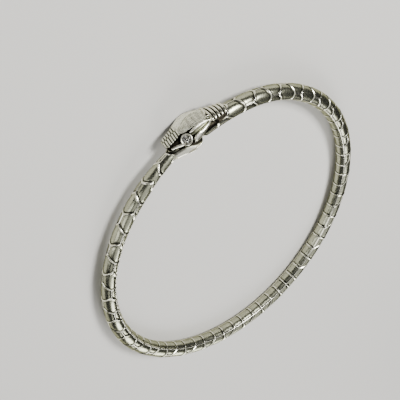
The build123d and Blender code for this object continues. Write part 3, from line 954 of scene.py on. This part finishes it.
def collar_surface(sizes):
    """Grid and shade of the collar: an arc over the neck, closed by a flat, with half-round
    ribs across it whose ends are rounded off above the seam, by the tenth power of the share of
    the arc. Its front end is rounded by a quarter circle."""
    along = np.linspace(COLLAR_START, COLLAR_END, 190)[:, None]
    radius, foot = smooth_table(COLLAR_SECTIONS, along[:, 0]).T[:, :, None]
    pitch = sizes.collar_rib_pitch / MM
    rib = half_round((along - FIRST_CREST) / pitch + 0.5, COLLAR_RIB_SHARE)
    part = np.linspace(0, 1, 40)[None, :]
    tall = sizes.collar_rib_height / MM
    ends = np.sqrt(np.maximum(1 - part**10, 0))
    front = np.clip((along - along[0]) / 0.3, 0, 1)
    ring = radius - 0.30 * tall + tall * rib * ends - 0.5 * (1 - np.sqrt(1 - (1 - front) ** 2))
    spread = np.arccos(foot / (radius - 0.3 * (1 - front)))
    arc = np.stack((ring * np.cos(part * spread), ring * np.sin(part * spread)), axis=-1)
    inner = np.linspace(0.9, 0, 6)[None, :]
    flat = np.stack((foot + 0 * inner, inner * arc[:, -1:, 1]), axis=-1)
    loops = both_ways(np.concatenate((arc, flat), axis=1))
    # Painted shade: the valleys between the ribs darken, and the flat under the collar is painted
    # fully dark
    valley_shade = bell(rib, 0.55) * np.ones_like(part)
    half = np.concatenate((valley_shade, np.ones((len(along), 6))), axis=1)
    shade = np.concatenate((half, half[:, -2:0:-1]), axis=1)
    return place(along, loops[..., 0], loops[..., 1]), shade


class BRACELET_OT_hoop(bpy.types.Operator):
    """Builds the scaled body and the lower jaw, cast in one"""

    bl_idname = "bracelet.hoop"
    bl_label = "Scaled body and jaw"

    def execute(self, context):
        sizes = context.scene.bracelet_sizes
        grid, shade, skin = hoop_surface(sizes)
        make_piece("scaled_body", [grid], polished_silver(), "hoop", [shade], skin)
        grid, shade = jaw_surface()
        make_piece("lower_jaw", [grid], burnished_silver(), "hoop", [shade])
        beads = [rod(JAW_BEAD_PATH, side=side) for side in (1, -1)]
        make_piece("jaw_rims", beads, burnished_silver(), "hoop")
        return {"FINISHED"}


class BRACELET_OT_head(bpy.types.Operator):
    """Builds the core, crown, brows, temples, cheeks and lips of the head"""

    bl_idname = "bracelet.head"
    bl_label = "Head"

    def execute(self, context):
        sizes = context.scene.bracelet_sizes
        # The head's core, seen only in recesses, is painted near black: oxide and painted shade
        make_piece("skull", [skull_surface()], oxide_and_shade_silver(), "head")
        grid, shade = crown_surface(sizes)
        make_piece("crown", [grid], chased_silver(), "head", [shade])
        for name, near, far in (("lips", LIP_PATH, LIP_PATH),
                                ("brows", BROW_PATH, FAR_BROW_PATH),
                                ("temples", TEMPLE_PATH, TEMPLE_PATH),
                                ("cheeks", CHEEK_PATH, CHEEK_PATH)):
            rods = [rod(near, sides=40), rod(far, sides=40, side=-1)]
            # Painted shade: the temples' troughs are painted half dark
            darks = [0.5, 0.5] if name == "temples" else None
            make_piece(name, rods, burnished_silver(), "head", darks)
        make_piece("nape_rib", [rod(NAPE_PATH)], polished_silver(), "head")
        pearls = [turned(PEARL_PROFILE, PEARL_SPOT, PEARL_FACING, side=side) for side in (1, -1)]
        make_piece("pearls", pearls, polished_silver(), "head",
                   [shaded_depth(PEARL_PROFILE, 0.72, 0.66)] * 2)
        return {"FINISHED"}


class BRACELET_OT_ribs(bpy.types.Operator):
    """Builds the ribbed snout and the ribbed collar on the neck"""

    bl_idname = "bracelet.ribs"
    bl_label = "Snout and collar ribs"

    def execute(self, context):
        sizes = context.scene.bracelet_sizes
        grid, shade = snout_surface(sizes)
        make_piece("snout", [grid], chased_silver(), "head", [shade])
        grid, shade = collar_surface(sizes)
        make_piece("collar", [grid], polished_silver(), "head", [shade])
        return {"FINISHED"}


class BRACELET_OT_eyes(bpy.types.Operator):
    """Builds the two eye settings and gives the stones their glassy finish"""

    bl_idname = "bracelet.eyes"
    bl_label = "Eyes"

    def execute(self, context):
        cups = [turned(SETTING_PROFILE, EYE_SPOT, EYE_FACING, side=side) for side in (1, -1)]
        make_piece("eye_settings", cups, burnished_silver(), "head",
                   [shaded_depth(SETTING_PROFILE, 0.63, 0.9)] * 2)
        stone = cut_zirconia()
        for name in ("eye_stone_right", "eye_stone_left"):
            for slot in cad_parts[name].material_slots:
                slot.material = stone
        return {"FINISHED"}


class BRACELET_OT_studio(bpy.types.Operator):
    """Adds the plain floor, the soft lights and the camera"""

    bl_idname = "bracelet.studio"
    bl_label = "Studio"

    def execute(self, context):
        studio = context.scene.bracelet_studio
        mesh = bpy.data.meshes.new("floor")
        corners = [(x * FLOOR_REACH, y * FLOOR_REACH, 0)
                   for x, y in ((-1, -1), (1, -1), (1, 1), (-1, 1))]
        mesh.from_pydata(corners, [], [(0, 1, 2, 3)])
        mesh.materials.append(matte_card(studio.floor))
        floor = add_object("floor", mesh)
        for name, power, size, spot in LAMPS:
            light = bpy.data.lights.new(name, "AREA")
            light.energy = power * studio.brightness
            light.size = size
            lamp = add_object(name, light)
            lamp.location = spot
            lamp.rotation_euler = (-lamp.location).to_track_quat("-Z", "Y").to_euler()
        world = bpy.data.worlds.new("studio")
        world.use_nodes = True
        background = world.node_tree.nodes["Background"]
        background.inputs["Color"].default_value = opaque(studio.surroundings)
        context.scene.world = world
        lens = bpy.data.cameras.new("camera")
        lens.lens = studio.lens
        lens.sensor_width = 36.0
        lens.clip_start = 0.005
        camera = add_object("camera", lens)
        camera.location = CAMERA_SPOT
        camera.rotation_euler = Euler(np.radians(CAMERA_ANGLES).tolist(), "XYZ")
        context.scene.camera = camera
        return {"FINISHED"}


OPERATORS = (BRACELET_OT_hoop, BRACELET_OT_head, BRACELET_OT_ribs, BRACELET_OT_eyes,
             BRACELET_OT_studio)


class BRACELET_PT_panel(bpy.types.Panel):
    """Lists the pieces, their sizes and their finishes"""

    bl_idname = "BRACELET_PT_panel"
    bl_label = "Snake bracelet"
    bl_space_type = "VIEW_3D"
    bl_region_type = "UI"
    bl_category = "Bracelet"

    def draw(self, context):
        layout = self.layout
        for group in (context.scene.bracelet_sizes, context.scene.bracelet_finishes,
                      context.scene.bracelet_studio):
            for name in group.__annotations__:
                layout.prop(group, name)
        for operator in OPERATORS:
            layout.operator(operator.bl_idname)


GROUPS = (
    ("bracelet_sizes", BraceletSizes),
    ("bracelet_finishes", BraceletFinishes),
    ("bracelet_studio", StudioSettings),
)


def register():
    for name, group in GROUPS:
        bpy.utils.register_class(group)
        setattr(bpy.types.Scene, name, PointerProperty(type=group))
    for part in (*OPERATORS, BRACELET_PT_panel):
        bpy.utils.register_class(part)


def unregister():
    for part in (BRACELET_PT_panel, *reversed(OPERATORS)):
        bpy.utils.unregister_class(part)
    for name, group in reversed(GROUPS):
        delattr(bpy.types.Scene, name)
        bpy.utils.unregister_class(group)


def main():
    """Registers the add-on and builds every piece."""
    register()
    bpy.ops.bracelet.hoop()
    bpy.ops.bracelet.head()
    bpy.ops.bracelet.ribs()
    bpy.ops.bracelet.eyes()
    bpy.ops.bracelet.studio()


if __name__ == "__main__":
    main()
